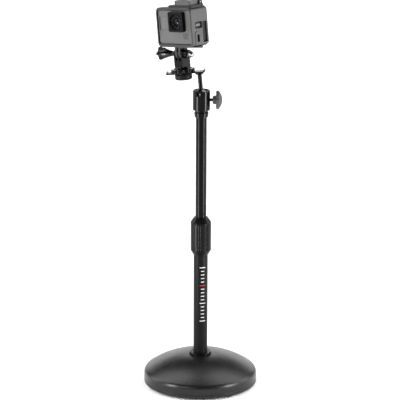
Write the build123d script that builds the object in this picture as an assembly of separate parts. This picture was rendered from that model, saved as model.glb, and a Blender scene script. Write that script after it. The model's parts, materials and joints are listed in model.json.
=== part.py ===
from build123d import *
import math
import os

# Desk stand with a weighted round base, a two-stage tube, a ball head and an
# action camera held in a skeleton frame. Millimetres and degrees.
# Origin: centre of the base on the table. +Z up, -Y is the side the camera looks to.

# ---- Fits -------------------------------------------------------------
press_gap = 0.02          # radial gap of parts pressed or screwed fast
run_gap = 0.06            # radial gap of parts that turn or slide on each other
free_gap = 0.35           # radial gap where a part only passes by
face_gap = 0.05           # gap between flat faces that meet
thin_gap = 0.2            # gap round covers and inserts
past = 1.0                # how far a cutter reaches past the face it cuts
break_edge = 0.6          # small broken edges

# ---- Base -------------------------------------------------------------
base_dia = 152.4          # six inch casting
rim_height = 12.5         # upright part of the rim
rim_width = 12.2          # flat ring under the rim that holds the feet
dome_rise = 21.9          # from the dome's edge to its flat top
edge_height = 16.6        # from the underside to the dome's edge
shoulder_radius = 7.0     # between rim and dome
dome_crown = 7.6          # how far the dome bulges over a straight cone
crown_share = 0.72        # share of the bulge at mid width
rim_break = 1.0           # chamfer round the underside
rim_draft = 0.4           # inward lean of the rim above its upright part
land_radius = 15.2        # flat top that carries the collar
hub_radius = 20.0         # boss under the dome
hub_drop = 8.0            # boss underside above the rim's underside
hollow_rim = 9.0          # height of the hollow at its outer wall
hollow_hub = 25.0         # height of the hollow beside the boss
seam_height = 4.6         # parting groove above the underside
seam_depth = 0.5
foot_stand = 2.0          # feet lift the casting by this
foot_dia = 9.0
foot_sink = 1.5           # depth of the foot pockets
foot_count = 3
foot_first = -57.1        # direction of the first foot from +X
foot_break = 0.7

# ---- Lower tube, its bolt and collar ----------------------------------
lower_dia = 19.05
lower_wall = 1.4
lower_top = 196.0
tube_sink = 18.5          # how deep the lower tube sits in the base
plug_length = 16.0
bolt_dia = 8.0
bolt_reach = 13.0         # thread inside the plug
bolt_flats = 13.0
bolt_head = 5.3
washer_dia = 20.0
washer_thick = 1.6
collar_dia = 29.5
collar_height = 3.0
collar_break = 0.9

# ---- Upper tube -------------------------------------------------------
upper_dia = 14.5
upper_wall = 1.2
upper_bottom = 178.0
upper_top = 369.8
bush_length = 8.0

# ---- Twist clutch -----------------------------------------------------
clutch_dia = 27.3
clutch_low = 181.5
clutch_body_low = 187.0
clutch_body_high = 225.8
clutch_high = 232.2
clutch_low_dia = 21.2
clutch_high_dia = 18.8
flute_count = 9
flute_turn = -96.5        # direction of the first flute from +X
flute_depth = 0.9
flute_radius = 2.6
flute_end = 0.8           # rounding of the flutes' ends
flute_low_land = 1.0      # plain lands below and above the flutes
flute_high_land = 1.6
band_low = 1.0            # fine groove under the upper chamfer, from its edge
band_high = 0.5
band_depth = 0.35
cavity_drop = 1.5         # inner shoulder below the lower tube's end
thread_dia = 21.5         # outside thread of the bushing
bushing_insert = 7.0      # length of the bushing inside the lower tube
bushing_height = 16.0     # length of the bushing above the lower tube
collet_height = 7.8
collet_taper = 1.0
collet_slit = 1.4
collet_straight = 2.0     # part of the collet before its taper
collet_relief = 0.8       # collet inside the thread
slip_washer = 1.2

# ---- Ball head --------------------------------------------------------
adapter_ring_dia = 18.2
adapter_ring_low = 369.0
adapter_band = 0.35       # raised band round the adapter ring
adapter_waist = 0.5       # groove above the band
socket_low = 378.8
socket_high = 405.4
socket_dia = 23.0
ball_height = 399.0
ball_dia = 16.0
lip_height = 3.0          # retaining edge above the ball's centre
lip_flare = 10.2          # radius of the opening at the rim
notch_width = 6.2
notch_depth = 7.2
notch_turn = -111.7       # direction of the notch from +X
stud_dia = 6.3            # quarter inch thread
stud_length = 6.6
fitting_dia = 15.8        # five-eighths thread on the upper tube
fitting_height = 7.0
fitting_insert = 14.0
seat_dia = 9.0
seat_room = 3.4           # depth of the seat's pocket
seat_rest = 0.9           # floor between the stud and the seat
seat_relief = 0.35
cage_gap = 0.15           # round the ball under the lip
bore_gap = 0.3            # round the ball below its middle
ball_flat = 0.4           # flat on the ball under the stem
spigot_step = 0.6         # shoulder of the stem
spigot_depth = 2.0        # spigot's end above the ball's centre
pad_gap = 0.12            # lock pad from the ball
stud_room = 0.2
lean = 5.5                # how far the head leans towards -X
tip_back = 3.5            # how far it tips back
pan = 5.8                 # how far it is swung to the left

# ---- Lock knob of the ball head ---------------------------------------
lock_height = 392.3
lock_shank = 4.0
lock_hub_start = 14.7
lock_hub_dia = 11.4
lock_head_start = 19.2
lock_head_end = 27.5
lock_head_dia = 24.3
lock_lobes = 8
lock_edge = 3.4           # straight edge of the knob before its crown
scallop_radius = 3.2
scallop_out = 2.2         # scallops' centres outside the knob
lock_screw_grip = 4.2     # screw moulded into the knob
pad_start = 4.8
pad_end = 8.6

# ---- Stem and slotted plate, measured along the leaning axis -----------
stem_dia = 5.8
stem_collar_dia = 11.0
stem_collar_height = 2.9
stem_collar_break = 0.8
plate_under = 30.3        # underside above the ball's centre
plate_thick = 1.5
plate_left = 43.3
plate_right = 7.7
plate_width = 16.0
lip_rise = 1.9            # upturned ends
lip_thick = 1.6
plate_corner = 2.0
slot_width = 8.0
slot_start = 10.4         # nearest end from the stem's axis
slot_end = 39.6
screw_offset = 21.2       # camera screw from the stem's axis
guide_length = 10.0

# ---- Thumb wheel under the plate ---------------------------------------
wheel_dia = 22.8
wheel_height = 7.4
wheel_ribs = 36
rib_radius = 0.45         # grooves round the wheel
rib_out = 0.12            # grooves' centres outside the wheel
wheel_washer_dia = 16.0
wheel_washer_thick = 0.8
camera_screw_dia = 6.3
camera_screw_reach = 5.4  # thread above the plate

# ---- Three-prong adapter -----------------------------------------------
disc_dia = 31.5
disc_height = 5.0
disc_notches = 12
disc_notch_radius = 2.1
notch_share = 0.55        # notch centres outside the disc, as a share of their radius
notch_first = 15.0
dish_depth = 1.0          # sunk ring on top of the disc
boss_height = 3.2
boss_dia = 21.0
axis_height = 24.3        # clamp screw above the plate
prong_radius = 7.2
prong_thick = 3.0
prong_gap = 3.1
clamp_hole = 5.2
nut_boss_dia = 11.6
nut_boss_length = 6.0
nut_flats = 8.0
nut_height = 13.0
nut_seat = 0.4            # floor of the nut's pocket
nut_proud = 0.6           # hexagon past its pocket
insert_dia = 9.5
insert_height = 5.9
yaw = 37.4                # camera turned on the plate, to the left
pitch = 1.3               # camera tipped back on its clamp

# ---- Clamp screw --------------------------------------------------------
clamp_shank = 5.0
clamp_washer_thick = 0.8
clamp_washer_dia = 10.0
clamp_knob_start = 8.9
clamp_knob_end = 39.5
clamp_knob_dia = 18.4
clamp_neck_dia = 7.0
clamp_flutes = 5
flute_cut = 4.4           # radius of the flutes' cutter
flute_begin = 15.0
flute_out = 1.0           # flutes' centres outside the knob
flute_first = 20.0
clamp_screw_grip = 14.0   # screw moulded into the knob
clamp_flange = 4.6        # radius of the knob's washer face

# ---- Skeleton frame, measured from its own centre ------------------------
frame_width = 63.8
frame_height = 52.0
frame_depth = 31.8
frame_side = 2.2
frame_top = 3.2
frame_bottom = 3.8
frame_corner = 6.0
frame_lift = 10.1         # frame's underside above the clamp screw
frame_shift = 2.6         # frame's centre from the prongs, sideways
frame_back = 3.3          # frame's centre from the prongs, backwards
frame_rim = 2.4           # thickness of the rear rim
rear_margin = 3.4         # how far the rear rim covers the camera
finger_thick = 2.9
front_break = 0.6
rear_break = 1.2
side_window_width = 13.0  # opening round the mode button
side_window_height = 9.0
vent_front = 4.0          # tall opening behind it
vent_margin = 1.2
vent_low = 5.0            # above the frame's underside
vent_high = 6.5           # above the frame's centre
door_room_side = 2.6      # opening round the side door
door_room_end = 2.4
pad_rise = 0.7            # arch-shaped pad on the near side
pad_width = 11.0
pad_place = -5.2          # along the depth
pad_low = 3.0             # above the frame's underside
pad_high = -4.6           # top of the arch from the frame's centre
pad_slot_width = 4.4
pad_slot_low = 3.4        # slot above the pad's lower edge
pad_slot_high = 4.6       # slot below the pad's top

# ---- Camera body ----------------------------------------------------------
front_recess = 1.6        # camera's face behind the frame's front edge
shell_wall = 1.6
split_place = -8.6        # joint between front and rear shell
body_corner = 4.5

# Lens block
lens_across = 5.9        # centre of the block, sideways
lens_up = 7.2             # centre of the block, upwards
block_width = 26.4
block_height = 26.2
block_stand = 5.0
block_wall = 1.8
window_thick = 1.2
barrel_dia = 15.0
barrel_length = 13.0
element_dia = 12.4
element_bulge = 1.6       # glass sphere's radius beyond the element's
element_cut = 3.2         # flat at its back from the sphere's centre
sensor_width = 8.4
sensor_height = 7.2
sensor_thick = 0.9
sensor_board_width = 19.0
sensor_board_height = 18.0
board_thick = 1.0

# Status display, microphone slot and the screen at the back
display_width = 14.6
display_height = 17.0
display_across = -17.4
display_up = 4.5
mic_width = 1.3
mic_height = 18.0
mic_across = -26.6
screen_width = 44.0
screen_height = 29.0
screen_thick = 1.4
grille_across = 18.6      # sound slots low on the front
grille_up = -14.5
grille_pitch = 2.0
grille_rows = 4
grille_length = 9.0
grille_width = 0.8
grille_depth = 0.7

# Inside the camera
board_margin = 3.0
cell_margin = 2.6
cell_length = 25.0
cell_front = -1.0
cell_rear = 8.2
cell_low = 4.2            # above the body's floor
cell_high = 13.0          # top from the body's centre
speaker_dia = 9.0
speaker_thick = 3.0
speaker_at = (18.0, 5.0, -12.0)

# Buttons
shutter_dia = 10.0
shutter_rise = 1.4        # above the body
shutter_across = -18.0
mode_length = 8.4
mode_height = 3.0
mode_rise = 0.9           # outside the body
mode_place = -2.8         # along the depth
mode_up = 2.6

# Side door on the far side
door_depth = 16.0
door_height = 24.0
door_place = -1.0
door_up = -2.0
door_thick = 1.6
door_pin_dia = 1.2
catch_length = 5.0
catch_height = 2.6
catch_travel = 1.2
port_corner = 1.2         # ports behind the door
port_sizes = ((4.5, 9.0, 3.4), (-5.0, 7.0, 3.2))  # height from the door's centre, width, height
hinge_margin = 1.0        # hinge axis from the door's front edge

# Top of the frame: band in front, window over the shutter, boss under the latch
top_band = 8.5            # depth of the front band
window_rear = 5.0         # far edge of the window
window_end = -9.6         # end of the window towards the boss
boss_left = -8.9
boss_margin = 0.8         # boss edge inside the frame's edge
boss_rear = 11.0
boss_rise = 3.0
latch_left = 1.5
latch_inset = 3.2         # latch's right end inside the frame's edge
latch_front_inset = 1.5
latch_rear = 8.4
latch_thick = 6.0
latch_pin_dia = 1.6
lug_thick = 2.2
grip_width = 18.0
grip_rise = 0.8
grip_front = 1.2          # grip's edges behind the latch's front
grip_rear = 3.4
skid_drop = 2.2           # foot under the frame's near lower edge
skid_front = -13.5
skid_rear = 1.8
skid_width = 6.4
rear_cut = 7.0            # slanted cut along the lower rear edge

# ---- Derived sizes ----------------------------------------------------------
base_radius = base_dia / 2
base_top = foot_stand + edge_height + dome_rise
lower_radius = lower_dia / 2
lower_bore = lower_radius - lower_wall
lower_bottom = base_top - tube_sink
upper_radius = upper_dia / 2
upper_bore = upper_radius - upper_wall
hub_under = foot_stand + hub_drop
collar_top = base_top + collar_height
ball_radius = ball_dia / 2
lock_head_radius = lock_head_dia / 2
plate_top = plate_under + plate_thick
stack_half = prong_thick * 1.5 + prong_gap
inner_width = frame_width - 2 * frame_side
inner_height = frame_height - frame_top - frame_bottom
inner_rise = (frame_bottom - frame_top) / 2
body_width = inner_width - 2 * thin_gap
body_height = inner_height - 2 * thin_gap
front_plane = -frame_depth / 2 + front_recess
rear_plane = frame_depth / 2 - frame_rim - thin_gap
boss_top = frame_height / 2 + boss_rise
latch_right = frame_width / 2 - latch_inset
latch_front = -frame_depth / 2 + latch_front_inset
knuckle_radius = (latch_thick - face_gap) / 2
latch_pin_y = latch_rear - knuckle_radius
latch_pin_z = boss_top + face_gap + knuckle_radius

# ---- Places -------------------------------------------------------------------
head_place = Location((0, 0, ball_height), (-tip_back, -lean, 0)) * Rotation(0, 0, -pan)
clamp_axis = plate_top + axis_height
adapter_place = head_place * Location((-screw_offset, 0, clamp_axis), (0, 0, -yaw))
camera_place = adapter_place * Rotation(-pitch, 0, 0)
frame_place = camera_place * Location((frame_shift, frame_back, frame_lift + frame_height / 2))

pieces = {}


def keep(name, shape, place=None):
    """Stores a piece under its node name, moved to its place."""
    pieces[name] = shape if place is None else place * shape


def turned(points):
    """Solid of revolution about Z of a closed outline of (radius, height) points."""
    outline = Polyline([(r, 0, z) for r, z in points], close=True)
    return revolve(make_face(outline), Axis.Z)


def ring(outer, inner, low, high):
    """Tube section from low to high."""
    solid = Cylinder(outer, high - low)
    solid -= Cylinder(inner, high - low + 2)
    return Location((0, 0, (low + high) / 2)) * solid


def rod(radius, low, high):
    """Round bar along Z from low to high."""
    return Location((0, 0, (low + high) / 2)) * Cylinder(radius, high - low)


def hexagon_bar(flats, low, high):
    """Hexagonal bar along Z from low to high."""
    sketch = RegularPolygon(flats / 2, 6, major_radius=False)
    return Location((0, 0, low)) * extrude(sketch, high - low)


def block(x_range, y_range, z_range):
    """Box from its three ranges."""
    size = [high - low for low, high in (x_range, y_range, z_range)]
    middle = [(low + high) / 2 for low, high in (x_range, y_range, z_range)]
    return Location(tuple(middle)) * Box(*size)


def rounded_slab(width, height, radius, y_low, y_high):
    """Slab with rounded corners in XZ, between two depths along Y."""
    sketch = RectangleRounded(width, height, radius)
    slab = extrude(sketch, y_high - y_low)
    return Location((0, y_high, 0), (90, 0, 0)) * slab


def crown_arc(radius, rim, top):
    """Arc of a dome centred on Z, from its rim to its top."""
    rise = top - rim
    ball = (radius ** 2 + rise ** 2) / (2 * rise)
    half_way = top - ball + math.sqrt(ball ** 2 - radius ** 2 / 4)
    return ThreePointArc((radius, 0, rim), (radius / 2, 0, half_way), (0, 0, top))


def along_x(shape):
    """Turns a shape made along Z so that it lies along +X."""
    return Rotation(0, 90, 0) * shape


def around(count, radius, first=0.0):
    """Places spaced evenly on a circle."""
    return [Rotation(0, 0, first + 360 / count * i) * Location((radius, 0, 0)) for i in range(count)]


# ---- Base group -------------------------------------------------------------------
def make_base():
    low = foot_stand
    edge = low + edge_height
    rim_bore = base_radius - rim_width
    dome_mid = (base_radius + land_radius) / 2
    mid_height = edge + dome_rise / 2 + dome_crown * crown_share
    bolt_pass = bolt_dia / 2 + free_gap
    tube_pass = lower_radius + press_gap
    lines = [
        Line((rim_bore, 0, low), (base_radius - rim_break, 0, low)),
        Line((base_radius - rim_break, 0, low), (base_radius, 0, low + rim_break)),
        Line((base_radius, 0, low + rim_break), (base_radius, 0, low + rim_height)),
        Line((base_radius, 0, low + rim_height), (base_radius - rim_draft, 0, edge)),
        ThreePointArc((base_radius - rim_draft, 0, edge), (dome_mid, 0, mid_height),
                      (land_radius, 0, base_top)),
        Line((land_radius, 0, base_top), (tube_pass, 0, base_top)),
        Line((tube_pass, 0, base_top), (tube_pass, 0, lower_bottom)),
        Line((tube_pass, 0, lower_bottom), (bolt_pass, 0, lower_bottom)),
        Line((bolt_pass, 0, lower_bottom), (bolt_pass, 0, hub_under)),
        Line((bolt_pass, 0, hub_under), (hub_radius, 0, hub_under)),
        Line((hub_radius, 0, hub_under), (hub_radius, 0, low + hollow_hub)),
        Line((hub_radius, 0, low + hollow_hub), (rim_bore, 0, low + hollow_rim)),
        Line((rim_bore, 0, low + hollow_rim), (rim_bore, 0, low)),
    ]
    body = revolve(make_face(Curve() + lines), Axis.Z)
    shoulder = body.edges().filter_by(GeomType.CIRCLE)
    shoulder = shoulder.filter_by_position(Axis.Z, edge - 0.01, edge + 0.01)
    body = fillet(shoulder, shoulder_radius)
    seam = low + seam_height
    groove = turned([
        (base_radius + past, seam - seam_depth - break_edge),
        (base_radius + past, seam + seam_depth + break_edge),
        (base_radius - seam_depth, seam),
    ])
    body -= groove
    pocket = rod(foot_dia / 2 + press_gap, low - past, low + foot_sink)
    for place in around(foot_count, base_radius - rim_width / 2, foot_first):
        body -= place * pocket
    keep("base_casting", body)


def make_feet():
    foot = rod(foot_dia / 2, 0, foot_stand + foot_sink - face_gap)
    foot = chamfer(foot.edges().filter_by(GeomType.CIRCLE).sort_by(Axis.Z)[0], foot_break)
    places = around(foot_count, base_radius - rim_width / 2, foot_first)
    keep("foot_pads", Compound([place * foot for place in places]))


def make_base_bolt():
    washer_low = hub_under - face_gap - washer_thick
    keep("base_washer", ring(washer_dia / 2, bolt_dia / 2 + thin_gap, washer_low, hub_under - face_gap))
    head_high = washer_low - face_gap
    bolt = hexagon_bar(bolt_flats, head_high - bolt_head, head_high)
    bolt += rod(bolt_dia / 2, head_high, lower_bottom + bolt_reach)
    keep("base_bolt", bolt)


def make_lower_tube():
    keep("lower_tube", ring(lower_radius, lower_bore, lower_bottom + face_gap, lower_top))
    plug = rod(lower_bore - press_gap, lower_bottom + face_gap, lower_bottom + plug_length)
    plug -= rod(bolt_dia / 2 + press_gap, lower_bottom - past, lower_bottom + bolt_reach + past)
    keep("tube_plug", plug)
    radius = collar_dia / 2
    collar = ring(radius, lower_radius + press_gap, base_top + face_gap, collar_top)
    top_edge = collar.edges().filter_by(GeomType.CIRCLE).group_by(Axis.Z)[-1].sort_by(SortBy.LENGTH)[-1]
    keep("base_collar", chamfer(top_edge, collar_break))


# ---- Twist clutch ---------------------------------------------------------------------
def make_clutch():
    slide_bore = upper_radius + run_gap
    thread_low = lower_top + face_gap
    thread_high = lower_top + bushing_height
    bushing = ring(thread_dia / 2, slide_bore, thread_low, thread_high)
    bushing += ring(lower_bore - press_gap, slide_bore, lower_top - bushing_insert, thread_low)
    keep("clutch_bushing", bushing)

    collet_low = thread_high + face_gap
    collet_high = collet_low + collet_height
    collet_radius = thread_dia / 2 - free_gap - collet_relief
    collet = turned([
        (slide_bore, collet_low),
        (collet_radius, collet_low),
        (collet_radius, collet_low + collet_straight),
        (collet_radius - collet_taper, collet_high),
        (slide_bore, collet_high),
    ])
    slit = block((0, thread_dia), (-collet_slit / 2, collet_slit / 2),
                 (collet_low - past, collet_high + past))
    keep("clutch_collet", collet - slit)

    washer_low = collet_high + face_gap
    washer_high = washer_low + slip_washer
    washer_radius = collet_radius - collet_taper
    keep("clutch_washer", ring(washer_radius, upper_radius + free_gap, washer_low, washer_high))

    radius = clutch_dia / 2
    cavity_low = lower_top - cavity_drop
    shoulder = washer_high + face_gap
    sleeve = turned([
        (lower_radius + free_gap, clutch_low),
        (clutch_low_dia / 2, clutch_low),
        (radius, clutch_body_low),
        (radius, clutch_body_high),
        (clutch_high_dia / 2, clutch_high),
        (upper_radius + free_gap, clutch_high),
        (upper_radius + free_gap, shoulder),
        (thread_dia / 2 + run_gap, shoulder),
        (thread_dia / 2 + run_gap, cavity_low),
        (lower_radius + free_gap, cavity_low),
    ])
    flute_low = clutch_body_low + flute_low_land
    flute_high = clutch_body_high - flute_high_land
    cutter = rod(flute_radius, flute_low, flute_high)
    cutter = fillet(cutter.edges().filter_by(GeomType.CIRCLE), flute_end)
    for place in around(flute_count, radius + flute_radius - flute_depth, flute_turn):
        sleeve -= place * cutter
    band = ring(radius + past, radius - band_depth, clutch_body_high - band_low, clutch_body_high - band_high)
    sleeve -= band
    keep("clutch_sleeve", sleeve)


# ---- Upper tube and the fittings on it -----------------------------------------------------
def make_upper_tube():
    keep("inner_tube", ring(upper_radius, upper_bore, upper_bottom, upper_top))
    bush = ring(lower_bore - run_gap, upper_radius + run_gap, upper_bottom, upper_bottom + bush_length)
    keep("guide_bush", bush)
    fitting = rod(upper_bore - press_gap, upper_top - fitting_insert, upper_top + face_gap)
    fitting += rod(fitting_dia / 2, upper_top + face_gap, upper_top + fitting_height)
    keep("tube_end_fitting", fitting)


def make_thread_adapter():
    radius = adapter_ring_dia / 2
    bore = fitting_dia / 2 + press_gap
    bore_top = upper_top + fitting_height + face_gap
    shape = turned([
        (bore, adapter_ring_low),
        (radius - 0.9, adapter_ring_low),
        (radius, adapter_ring_low + 1.1),
        (radius, adapter_ring_low + 3.6),
        (radius + adapter_band, adapter_ring_low + 3.9),
        (radius + adapter_band, adapter_ring_low + 6.6),
        (radius, adapter_ring_low + 6.9),
        (radius - adapter_waist, adapter_ring_low + 7.6),
        (radius - adapter_waist, adapter_ring_low + 8.2),
        (radius, adapter_ring_low + 8.7),
        (radius, socket_low - face_gap),
        (stud_dia / 2, socket_low - face_gap),
        (stud_dia / 2, socket_low + stud_length),
        (0, socket_low + stud_length),
        (0, bore_top),
        (bore, bore_top),
    ])
    keep("thread_adapter", shape)


# ---- Ball head ---------------------------------------------------------------------------
def make_ball_socket():
    radius = socket_dia / 2
    cage = ball_radius + cage_gap
    lip_z = ball_height + lip_height
    lip_radius = math.sqrt(cage ** 2 - lip_height ** 2)
    bore = ball_radius + bore_gap
    seat_floor = socket_low + stud_length + seat_rest
    seat_top = seat_floor + seat_room
    blank = rod(radius, socket_low, socket_high)
    rims = blank.edges().filter_by(GeomType.CIRCLE)
    blank = chamfer(rims, break_edge)
    blank -= rod(stud_dia / 2 + press_gap, socket_low - past, socket_low + stud_length + stud_room)
    blank -= rod(seat_dia / 2 + run_gap, seat_floor, seat_top + past)
    blank -= turned([(0, seat_top), (seat_dia / 2 + 1, seat_top), (bore, seat_top + 3.2), (bore, ball_height),
                     (0, ball_height)])
    dome = Location((0, 0, ball_height)) * Sphere(cage)
    dome -= rod(cage + 5, lip_z, lip_z + 20)
    dome -= rod(cage + 5, ball_height - 20, ball_height - 0.5)
    blank -= dome
    blank -= turned([(0, lip_z - 0.1), (lip_radius, lip_z - 0.1), (lip_flare, socket_high + 0.1),
                     (0, socket_high + 0.1)])
    notch_low = socket_high - notch_depth
    opening = block((0, radius + 2), (-notch_width / 2, notch_width / 2),
                    (notch_low + notch_width / 2, socket_high + 1))
    opening += Location((radius / 2 + 1, 0, notch_low + notch_width / 2)) * along_x(
        Cylinder(notch_width / 2, radius + 2))
    blank -= Rotation(0, 0, notch_turn) * opening
    hole = along_x(Cylinder(lock_shank / 2 + run_gap, radius + 4))
    blank -= Location(((radius + 4) / 2, 0, lock_height)) * hole
    keep("ball_socket", blank)

    seat_high = ball_height - math.sqrt(ball_radius ** 2 - (seat_dia / 2) ** 2) - seat_relief
    seat = rod(seat_dia / 2, seat_floor + face_gap, seat_high)
    seat -= Location((0, 0, ball_height)) * Sphere(ball_radius + run_gap)
    keep("seat_button", seat)


def make_ball_and_stem():
    spigot = stem_dia / 2 - spigot_step
    flat = ball_radius - ball_flat
    ball = Sphere(ball_radius)
    ball -= rod(ball_radius, flat, ball_radius + 2)
    ball -= rod(spigot + run_gap, spigot_depth, ball_radius + 2)
    keep("ball", ball, head_place)
    stem = rod(spigot, spigot_depth + thin_gap, flat + 0.1)
    stem += rod(stem_dia / 2, flat + 0.1, plate_top - face_gap)
    collar_high = plate_under - face_gap
    collar = rod(stem_collar_dia / 2, collar_high - stem_collar_height, collar_high)
    collar = chamfer(collar.edges().filter_by(GeomType.CIRCLE).sort_by(Axis.Z)[0], stem_collar_break)
    keep("stem", stem + collar, head_place)


def make_lock_knob():
    place = Location((0, 0, lock_height))
    shank = lock_shank / 2
    pad = along_x(rod(shank, pad_start, pad_end))
    pad -= Location((0, 0, ball_height - lock_height)) * Sphere(ball_radius + pad_gap)
    keep("lock_pad", pad, place)

    head_radius = lock_head_radius
    hub = lock_hub_dia / 2
    screw_end = lock_head_start + lock_screw_grip
    keep("lock_screw", along_x(rod(shank, pad_end + face_gap, screw_end)), place)
    outline = [
        Line((0, 0, lock_hub_start), (hub - 1.6, 0, lock_hub_start)),
        ThreePointArc((hub - 1.6, 0, lock_hub_start), (hub - 0.4, 0, lock_hub_start + 0.9),
                      (hub, 0, lock_hub_start + 2.2)),
        Line((hub, 0, lock_hub_start + 2.2), (hub, 0, lock_head_start)),
        Line((hub, 0, lock_head_start), (head_radius - 0.8, 0, lock_head_start)),
        Line((head_radius - 0.8, 0, lock_head_start), (head_radius, 0, lock_head_start + 0.8)),
        Line((head_radius, 0, lock_head_start + 0.8), (head_radius, 0, lock_head_start + lock_edge)),
        crown_arc(head_radius, lock_head_start + lock_edge, lock_head_end),
        Line((0, 0, lock_head_end), (0, 0, lock_hub_start)),
    ]
    knob = revolve(make_face(Curve() + outline), Axis.Z)
    knob -= rod(shank + press_gap, lock_hub_start - past, screw_end + face_gap)
    scallop = rod(scallop_radius, lock_head_start - past, lock_head_end + past)
    for spot in around(lock_lobes, head_radius + scallop_out, 180 / lock_lobes):
        knob -= spot * scallop
    keep("lock_knob", along_x(knob), place)


# ---- Slotted plate and the screw through it ---------------------------------------------------
def make_plate():
    length = plate_left + plate_right
    middle = (plate_right - plate_left) / 2
    blank = extrude(RectangleRounded(length, plate_width, plate_corner), plate_thick + lip_rise)
    plate = Location((middle, 0, plate_under)) * blank
    plate -= block((-plate_left + lip_thick, plate_right - lip_thick), (-plate_width, plate_width),
                   (plate_top, plate_top + lip_rise + past))
    slot_middle = -(slot_start + slot_end) / 2
    slot = extrude(SlotOverall(slot_end - slot_start, slot_width), plate_thick + 2)
    plate -= Location((slot_middle, 0, plate_under - 1)) * slot
    plate -= rod(stem_dia / 2 + press_gap, plate_under - past, plate_top + past)
    keep("mount_plate", plate, head_place)


def make_camera_screw():
    place = head_place * Location((-screw_offset, 0, 0))
    bore = camera_screw_dia / 2 + run_gap
    guide_half = slot_width / 2 - thin_gap
    guide = block((-guide_length / 2, guide_length / 2), (-guide_half, guide_half),
                  (plate_under, plate_top - face_gap))
    guide -= rod(bore, plate_under - past, plate_top + past)
    keep("slot_guide", guide, place)
    washer_low = plate_under - face_gap - wheel_washer_thick
    keep("wheel_washer", ring(wheel_washer_dia / 2, bore, washer_low, plate_under - face_gap), place)
    wheel_high = washer_low - face_gap
    wheel_low = wheel_high - wheel_height
    radius = wheel_dia / 2
    screw = camera_screw_dia / 2
    wheel = turned([
        (screw + press_gap, wheel_low),
        (radius - 2.6, wheel_low),
        (radius - 0.9, wheel_low + 0.6),
        (radius, wheel_low + 2.0),
        (radius, wheel_high - 0.6),
        (radius - 0.6, wheel_high),
        (screw + press_gap, wheel_high),
    ])
    rib_cut = rod(rib_radius, wheel_low - past, wheel_high + past)
    for spot in around(wheel_ribs, radius + rib_out):
        wheel -= spot * rib_cut
    keep("thumb_wheel", wheel, place)
    keep("camera_screw", rod(screw, wheel_low + 0.6, plate_top + camera_screw_reach), place)


# ---- Three-prong adapter and its clamp screw -----------------------------------------------------
def make_adapter():
    low = -axis_height + face_gap
    disc_high = low + disc_height
    disc = turned([
        (0, low),
        (disc_dia / 2 - 0.8, low),
        (disc_dia / 2, low + 0.8),
        (disc_dia / 2, disc_high - 0.6),
        (disc_dia / 2 - 0.6, disc_high),
        (disc_dia / 2 - 3.4, disc_high),
        (disc_dia / 2 - 3.9, disc_high - dish_depth),
        (boss_dia / 2 + 0.4, disc_high - dish_depth),
        (boss_dia / 2 - 0.6, disc_high + boss_height - 1.2),
        (boss_dia / 2 - 2.0, disc_high + boss_height),
        (0, disc_high + boss_height),
    ])
    notch = rod(disc_notch_radius, low - past, disc_high + past)
    for spot in around(disc_notches, disc_dia / 2 + disc_notch_radius * notch_share, notch_first):
        disc -= spot * notch
    body = disc
    prong_low = disc_high + boss_height - dish_depth
    for index in (-1, 0, 1):
        middle = index * (prong_thick + prong_gap)
        span = (middle - prong_thick / 2, middle + prong_thick / 2)
        prong = block(span, (-prong_radius, prong_radius), (prong_low, 0))
        prong += Location((middle, 0, 0)) * along_x(Cylinder(prong_radius, prong_thick))
        body += prong
    web = block((-stack_half, stack_half), (-prong_radius, prong_radius), (prong_low, -prong_radius - 1.2))
    body += web
    boss_end = stack_half + nut_boss_length
    body += along_x(rod(nut_boss_dia / 2, stack_half, boss_end))
    nut_room = along_x(hexagon_bar(nut_flats + 2 * thin_gap, stack_half + nut_seat, boss_end + past))
    body -= nut_room
    body -= along_x(rod(clamp_hole / 2, -stack_half - 5, stack_half + 5))
    body -= rod(insert_dia / 2 + press_gap, low - 1, low + insert_height + face_gap)
    keep("adapter_body", body, adapter_place)

    insert = ring(insert_dia / 2, camera_screw_dia / 2 + run_gap, low + face_gap, low + insert_height)
    keep("adapter_insert", insert, adapter_place)

    nut_low = stack_half + 0.5
    nut_crown = nut_low + nut_height
    flat_part = nut_low + nut_boss_length + nut_proud
    nut = hexagon_bar(nut_flats, nut_low, flat_part)
    crown = rod(nut_flats / 2 - 0.2, flat_part - 0.1, nut_crown)
    crown_rim = crown.edges().filter_by(GeomType.CIRCLE).sort_by(Axis.Z)[-1]
    nut += fillet(crown_rim, nut_flats / 2 - 0.9)
    nut -= rod(clamp_shank / 2 + run_gap, nut_low - 1, flat_part + 0.6)
    keep("acorn_nut", along_x(nut), adapter_place)


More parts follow.
